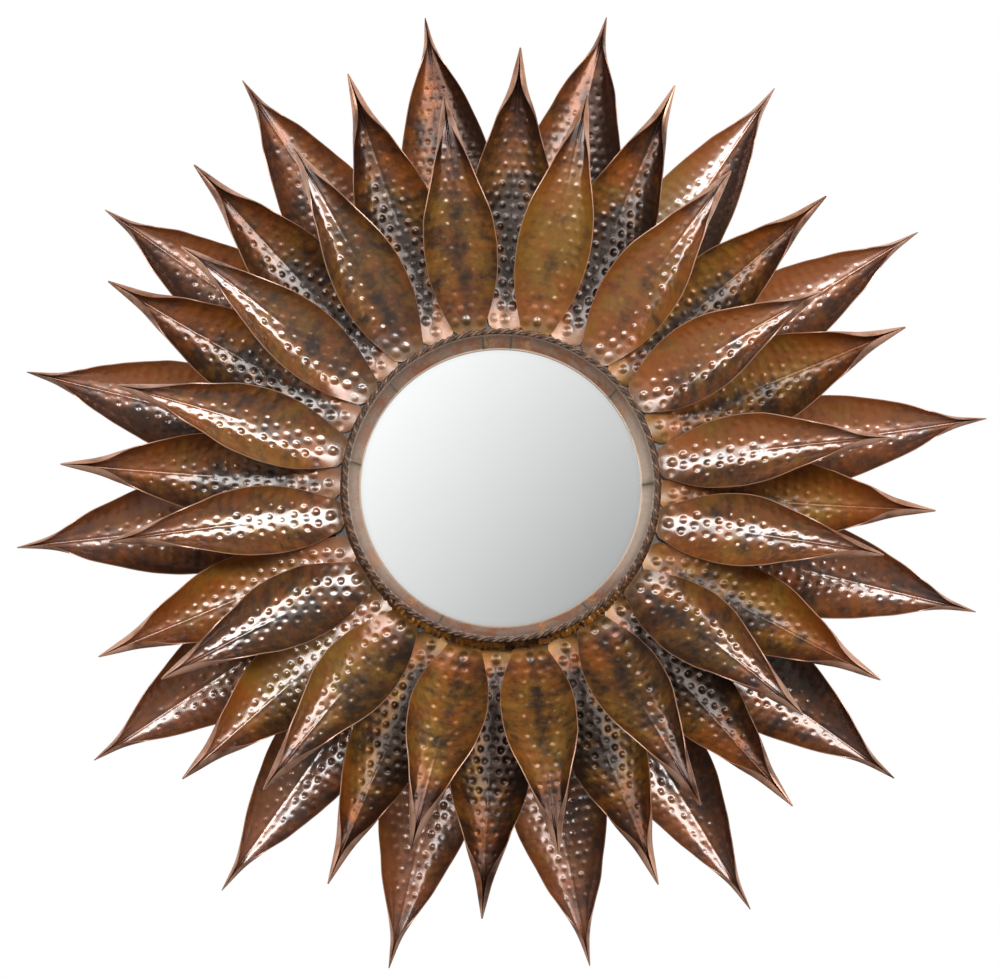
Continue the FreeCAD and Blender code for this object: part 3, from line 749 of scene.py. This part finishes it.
bezel_tree.links.new(bezel_colour, bezel_surface.inputs["Base Color"])
bezel_surface.inputs["Metallic"].default_value = 0.25
bezel_surface.inputs["Coat Weight"].default_value = 0.5
bezel_surface.inputs["Coat Roughness"].default_value = 0.15
roughen(bezel_tree, bezel_surface, bezel_speck, 0.3, 0.24, bezel_speck, 0.4, 0.0005)
bezel.data.materials.append(bezel_copper)
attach(bezel, "root")
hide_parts("bezel_cone")


# Braze
# A ring of bronze brazing metal joins the hoop to the feet of the leaves. It ran in by hand, so it is lumpy
# and spills further out at the bottom. It is also more golden towards the bottom and darker brown elsewhere.
braze_inner = 0.1621
braze_outer = 0.1664
braze_foot = 0.0451
braze_inside_top = 0.0530
braze_outside_top = 0.0490
braze_swell_height = 0.0009
braze_lump_height = 0.0008
braze_crown_lump = 0.0007
braze_spill_reach = 0.003
braze_turns = np.linspace(0, 2 * pi, 1500, endpoint=False)[:, None]
braze_dice = np.random.default_rng(77)
braze_lump = uneven(braze_turns * 0.164, 0 * braze_turns, braze_dice, 0.021, 0.0045)
# Its share towards the bottom: it spills further there and is more golden there
braze_low_share = 0.1 + 0.9 * ramp(0.55, 0.85, -np.sin(braze_turns))
braze_profile = np.linspace(0, 1, 9)
braze_top = braze_inside_top + (braze_outside_top - braze_inside_top) * braze_profile
braze_swell = np.sin(pi * braze_profile) * (braze_swell_height + braze_lump_height * braze_lump)
braze_crown = braze_crown_lump * braze_lump * np.sin(pi * np.clip(braze_profile, 0.1, 1))
braze_spill = braze_spill_reach * braze_low_share * ramp(-0.8, 0.6, braze_lump)
crown_radii = braze_inner + (braze_outer - braze_inner + braze_spill) * braze_profile
crown_heights = braze_top + braze_swell + braze_crown
under_radii = np.linspace(braze_outer, braze_inner, 4) + 0 * braze_turns
under_heights = braze_foot + 0 * under_radii
braze_radii = np.concatenate([crown_radii, under_radii], 1)[:, ::-1]
braze_heights = np.concatenate([crown_heights, under_heights], 1)[:, ::-1]
braze_marks = {"gold": braze_low_share + 0 * braze_radii}
braze = turned_surface("lumpy_braze_ring", braze_radii, braze_heights, 60, braze_marks)
braze_metal, braze_tree, braze_surface = new_surface("braze_metal_look")
braze_place = place_of(braze_tree)
braze_spots = noise(braze_tree, braze_place, 220.0, 4.0, 0.6)
braze_burn = fade_between(braze_tree, noise(braze_tree, braze_place, 70.0, 3.0), 0.42, 0.66)
braze_clean = fade_between(braze_tree, braze_burn, 0.9, 0.2)
braze_gold = times(braze_tree, attribute(braze_tree, "gold"), braze_clean)
braze_brown = speckled(braze_tree, braze_spots, (62, 44, 34), (110, 78, 58))
braze_bright = speckled(braze_tree, braze_spots, (146, 84, 30), (226, 160, 74))
braze_colour = blended(braze_tree, braze_gold, braze_brown, braze_bright)
braze_tree.links.new(braze_colour, braze_surface.inputs["Base Color"])
braze_surface.inputs["Metallic"].default_value = 0.4
roughen(braze_tree, braze_surface, braze_spots, 0.25, 0.22, braze_spots, 0.5, 0.0008)
braze.data.materials.append(braze_metal)
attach(braze, "root")
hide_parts("braze_fillet")


# Twisted wire
# Two strands of dark iron wire, twisted tightly together and laid round the rim where the cone meets the
# hoop. The side of each strand that faces the other is darkened as painted shade in the groove between
# them, and the copper's dust lies on both in patches.
wire_ring_radius = 0.16105
wire_ring_height = 0.0726
strand_radius = 0.00165
strand_throw = 0.00145
wire_twists = 66
wire_turn = np.linspace(0, 2 * pi, 1600, endpoint=False)[:, None]
strand_side = np.linspace(0, 2 * pi, 10, endpoint=False)


def strand(phase):
    """A tube that winds round the rim's circle: the radii and heights of its rings of points.

    Its middle is a throw away from the rim's circle, at the angle twists * turn + phase. The tube's own
    circle lies in the same plane across the rim.
    """
    wind = wire_twists * wire_turn + phase
    radii = wire_ring_radius + strand_throw * np.cos(wind) + strand_radius * np.cos(strand_side)
    heights = wire_ring_height + strand_throw * np.sin(wind) + strand_radius * np.sin(strand_side)
    return radii, heights


# Painted shade on the side of each strand that faces the other strand
wire_marks = {"painted_groove_shade": ramp(0.1, -0.7, np.cos(strand_side - wire_twists * wire_turn))}
dark_wire, wire_tree, wire_surface = new_surface("dark_wire_look")
wire_place = place_of(wire_tree)
wire_scale = noise(wire_tree, wire_place, 320.0, 4.0, 0.6)
wire_dust = fade_between(wire_tree, noise(wire_tree, wire_place, 60.0, 3.0), 0.48, 0.70)
wire_dust = times(wire_tree, wire_dust, 0.4)
wire_painted_shade = times(wire_tree, attribute(wire_tree, "painted_groove_shade"), 0.75)
wire_colour = speckled(wire_tree, wire_scale, (98, 78, 66), (160, 132, 112))
wire_colour = blended(wire_tree, wire_dust, wire_colour, linear(176, 118, 86))
wire_colour = blended(wire_tree, wire_painted_shade, wire_colour, linear(42, 30, 24))
wire_tree.links.new(wire_colour, wire_surface.inputs["Base Color"])
wire_surface.inputs["Metallic"].default_value = 0.35
roughen(wire_tree, wire_surface, wire_scale, 0.3, 0.2, wire_scale, 0.4, 0.0004)
for wire_name, wire_phase in (("wire_strand_first", 0), ("wire_strand_second", pi)):
    wire_radii, wire_heights = strand(wire_phase)
    wire_piece = turned_surface(wire_name, wire_radii, wire_heights, 80, wire_marks)
    wire_piece.data.materials.append(dark_wire)
    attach(wire_piece, "root")
    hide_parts("twisted_wire_ring")


# Hoop, discs and drum
# The plain hoop round the glass is copper. The two discs that carry the leaves and the drum between them
# and the wall plate are steel, left grey from the mill with brown heat marks from the brazing.
hoop_copper, hoop_tree, hoop_surface = new_surface("hoop_copper_look")
hoop_patina = put(hoop_tree, "ShaderNodeGroup", {"Gold": 0.9, "Rust": 0.8, "Smoke": 0.1}, node_tree=torch)
hoop_tree.links.new(hoop_patina.outputs["Color"], hoop_surface.inputs["Base Color"])
hoop_surface.inputs["Metallic"].default_value = 0.3
hoop_surface.inputs["Coat Weight"].default_value = 0.6
roughen(
    hoop_tree, hoop_surface, hoop_patina.outputs["Roughness"], 1.0, 0.12,
    hoop_patina.outputs["Height"], 0.3, 0.0004)


def finish_of(node_name, material):
    """Gives one of the model's own solids its material, in every slot of its mesh."""
    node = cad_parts[node_name]
    if not node.data.materials:
        node.data.materials.append(material)
    for slot in node.material_slots:
        slot.material = material


finish_of("bezel_hoop", hoop_copper)

carrier_steel, steel_tree, steel_surface = new_surface("carrier_steel_look")
steel_brush = noise(steel_tree, place_of(steel_tree, Scale=(1, 1, 30)), 120.0, 3.0, 0.5)
steel_heat = fade_between(steel_tree, noise(steel_tree, place_of(steel_tree), 30.0, 5.0, 0.65), 0.5, 0.72)
steel_heat = times(steel_tree, steel_heat, 0.7)
steel_colour = speckled(steel_tree, steel_brush, (72, 70, 68), (112, 108, 104))
steel_colour = blended(steel_tree, steel_heat, steel_colour, linear(84, 58, 42))
steel_tree.links.new(steel_colour, steel_surface.inputs["Base Color"])
steel_surface.inputs["Metallic"].default_value = 0.85
roughen(steel_tree, steel_surface, steel_brush, 0.2, 0.3, steel_brush, 0.2, 0.0002)
for steel_name in ("leaf_disc", "outer_leaf_disc", "hub_drum"):
    finish_of(steel_name, carrier_steel)


# Glass and its backing
# A disc of four millimetre silvered glass with its edge under the cone, a little greyer there. A disc of
# brown board behind it keeps the silver off the steel.
silvered_glass, glass_tree, glass_surface = new_surface("silvered_glass_look")
glass_wipe = noise(glass_tree, place_of(glass_tree), 18.0, 4.0, 0.6)
glass_centred = place_of(glass_tree, Location=-GLASS_CENTRE)
glass_reach = put(glass_tree, "ShaderNodeVectorMath", {0: glass_centred}, operation="LENGTH")
glass_edge = fade_between(glass_tree, glass_reach.outputs["Value"], 0.139, 0.147)
glass_edge = times(glass_tree, glass_edge, 0.12)
glass_colour = speckled(glass_tree, glass_wipe, (246, 249, 248), (250, 252, 252))
glass_colour = blended(glass_tree, glass_edge, glass_colour, linear(150, 150, 146))
glass_tree.links.new(glass_colour, glass_surface.inputs["Base Color"])
glass_surface.inputs["Metallic"].default_value = 1
glass_smear = times(glass_tree, fade_between(glass_tree, glass_wipe, 0.5, 0.8), 0.03)
glass_tree.links.new(glass_smear, glass_surface.inputs["Roughness"])
finish_of("mirror_glass", silvered_glass)

backing_board, board_tree, board_surface = new_surface("backing_board_look")
board_fibre = noise(board_tree, place_of(board_tree, Scale=(1, 1, 4)), 500.0, 4.0, 0.65)
board_colour = speckled(board_tree, board_fibre, (88, 60, 40), (140, 104, 74))
board_tree.links.new(board_colour, board_surface.inputs["Base Color"])
roughen(board_tree, board_surface, board_fibre, 0.3, 0.55, board_fibre, 0.5, 0.0004)
finish_of("glass_backing", backing_board)


# Back plate and wall pads
# The plate that hangs on the wall is painted a dull dark bronze over steel, and it keeps off the wall by
# four discs of dense grey felt glued to it.
back_paint, paint_tree, paint_surface = new_surface("back_paint_look")
paint_peel = noise(paint_tree, place_of(paint_tree), 700.0, 2.0, 0.5)
paint_cloud = noise(paint_tree, place_of(paint_tree), 20.0, 4.0, 0.6)
paint_colour = speckled(paint_tree, paint_cloud, (58, 48, 42), (82, 68, 58))
paint_tree.links.new(paint_colour, paint_surface.inputs["Base Color"])
roughen(paint_tree, paint_surface, paint_cloud, 0.25, 0.38, paint_peel, 0.35, 0.0003)
finish_of("back_plate", back_paint)

pad_felt, felt_tree, felt_surface = new_surface("pad_felt_look")
felt_fuzz = noise(felt_tree, place_of(felt_tree), 1400.0, 5.0, 0.75)
felt_colour = speckled(felt_tree, felt_fuzz, (82, 80, 78), (136, 132, 128))
felt_tree.links.new(felt_colour, felt_surface.inputs["Base Color"])
roughen(felt_tree, felt_surface, felt_fuzz, 0.1, 0.88, felt_fuzz, 0.8, 0.0006)
finish_of("wall_pads", pad_felt)


# Floor and studio
# A plain pale floor well below the mirror, a white backdrop behind it, and two long soft lights a little
# above the glass at either side of the camera, with a dim room over and between them.
floor_drop = -1.6
floor_reach = 8.0
floor_points = np.array([
    (-floor_reach, -floor_reach, floor_drop), (floor_reach, -floor_reach, floor_drop),
    (floor_reach, floor_reach, floor_drop), (-floor_reach, floor_reach, floor_drop),
])
floor = shell("studio_floor", floor_points, np.array([[0, 1, 2, 3]]))
floor_paint, floor_tree, floor_surface = new_surface("studio_floor_look")
floor_seen = put(floor_tree, "ShaderNodeLightPath").outputs["Is Camera Ray"]
floor_colour = speckled(floor_tree, floor_seen, (150, 150, 148), (252, 252, 250))
floor_tree.links.new(floor_colour, floor_surface.inputs["Base Color"])
floor_surface.inputs["Roughness"].default_value = 0.9
floor.data.materials.append(floor_paint)

# Of each lamp: turn and rise in degrees from the glass, distance, width, height, and brightness of its face
lamps = {
    "right_lamp": (32, 14.6, 2.1, 1.98, 0.57, 9.6),
    "left_lamp": (-32, 12.2, 2.1, 1.98, 0.42, 9.2),
}
for lamp_name, (lamp_turn, lamp_rise, lamp_distance, lamp_width, lamp_height, lamp_face) in lamps.items():
    lamp_data = bpy.data.lights.new(lamp_name, "AREA")
    lamp_data.shape = "RECTANGLE"
    lamp_data.size = lamp_width
    lamp_data.size_y = lamp_height
    lamp_data.energy = lamp_face * pi * lamp_width * lamp_height
    lamp = bpy.data.objects.new(lamp_name, lamp_data)
    lamp_turn = radians(lamp_turn)
    lamp_rise = radians(lamp_rise)
    lamp_way = Vector((sin(lamp_turn) * cos(lamp_rise), -cos(lamp_turn) * cos(lamp_rise), sin(lamp_rise)))
    lamp.location = GLASS_CENTRE + lamp_way * lamp_distance
    lamp.rotation_mode = "QUATERNION"
    lamp.rotation_quaternion = Vector((lamp_way.x, lamp_way.y, 0)).to_track_quat("Z", "Y")
    lamp.visible_camera = False
    bpy.context.scene.collection.objects.link(lamp)

# The room's light by direction: turn to the right of the camera's way and rise, in radians
room_light = 0.05
ceiling_light = 0.06
low_board_light = 3.0
card_light = 0.82
card_turn_shade = -7.5
card_rise_shade = 6.5
card_rise = radians(8.4)
studio = bpy.data.worlds.new("studio")
studio.use_nodes = True
bpy.context.scene.world = studio
sky = studio.node_tree
sky_way = put(sky, "ShaderNodeSeparateXYZ", {0: put(sky, "ShaderNodeTexCoord").outputs["Generated"]}).outputs
sky_turn = maths(sky, "ARCTAN2", sky_way["X"], times(sky, sky_way["Y"], -1.0))
sky_side = maths(sky, "ABSOLUTE", sky_turn)
sky_rise = maths(sky, "ARCSINE", sky_way["Z"])
lights = scaled(sky, fade_between(sky, sky_rise, 0.2, 1.2), ceiling_light, room_light)
# A bright board lies low in front. A pale shaded card is where the glass sends the camera's view
low_board = times(
    sky, between(sky, sky_turn, -0.70, -0.30, 0.34, 0.50),
    between(sky, sky_rise, -1.30, -0.60, -0.21, -0.15))
lights = scaled(sky, low_board, low_board_light, lights)
from_card = maths(sky, "SUBTRACT", sky_rise, card_rise)
card = times(
    sky, fade_between(sky, sky_side, radians(4.6), radians(3.4)),
    fade_between(sky, maths(sky, "ABSOLUTE", from_card), radians(6), radians(4)))
card_shade = scaled(sky, sky_turn, card_turn_shade, card_light)
card_shade = scaled(sky, from_card, card_rise_shade, card_shade)
lights = scaled(sky, card, maths(sky, "SUBTRACT", card_shade, lights), lights)
# The half of the room behind the mirror is white, and so is all that the camera sees unmirrored
backdrop = fade_between(sky, sky_way["Y"], 0.0, 0.12)
lights = scaled(sky, backdrop, maths(sky, "SUBTRACT", 1.0, lights), lights)
path = put(sky, "ShaderNodeLightPath").outputs
plain = maths(sky, "MAXIMUM", path["Is Camera Ray"], path["Is Transmission Ray"])
strength = scaled(sky, plain, maths(sky, "SUBTRACT", 1.0, lights), lights)
sky.links.new(strength, sky.nodes["Background"].inputs["Strength"])
sky.nodes["Background"].inputs["Color"].default_value = (1, 1, 1, 1)
bpy.context.scene.view_settings.view_transform = "Standard"
